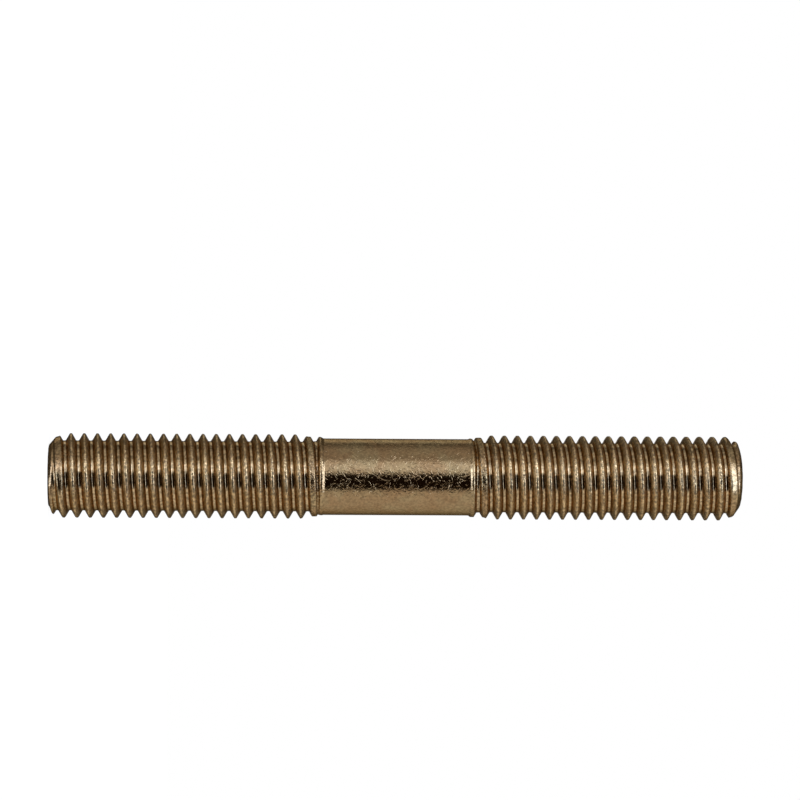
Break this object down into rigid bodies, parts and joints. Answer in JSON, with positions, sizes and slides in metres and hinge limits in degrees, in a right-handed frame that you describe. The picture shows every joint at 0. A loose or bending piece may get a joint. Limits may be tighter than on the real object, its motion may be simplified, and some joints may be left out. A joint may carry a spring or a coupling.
{
  "type": "double-ended stud bolt",
  "caption": "Double-ended stud bolt: a plain round steel shank with a long right-hand rolled thread, a run-out and a chamfered flat end at each end.",
  "frame": {"origin": "centre of the lower end face, on which the stud stands", "axes": "+Z along the stud's axis, from the lower end face to the upper one; +X is the side on which the first crests are measured"},
  "size_m": [0.0126, 0.0126, 0.103],
  "materials": {
    "steel": "bare rolled steel with a warm brown-grey cast, satin, with a fine etched grain"
  },
  "bodies": {
    "root": {"stud": "steel"}
  },
  "joints": []
}
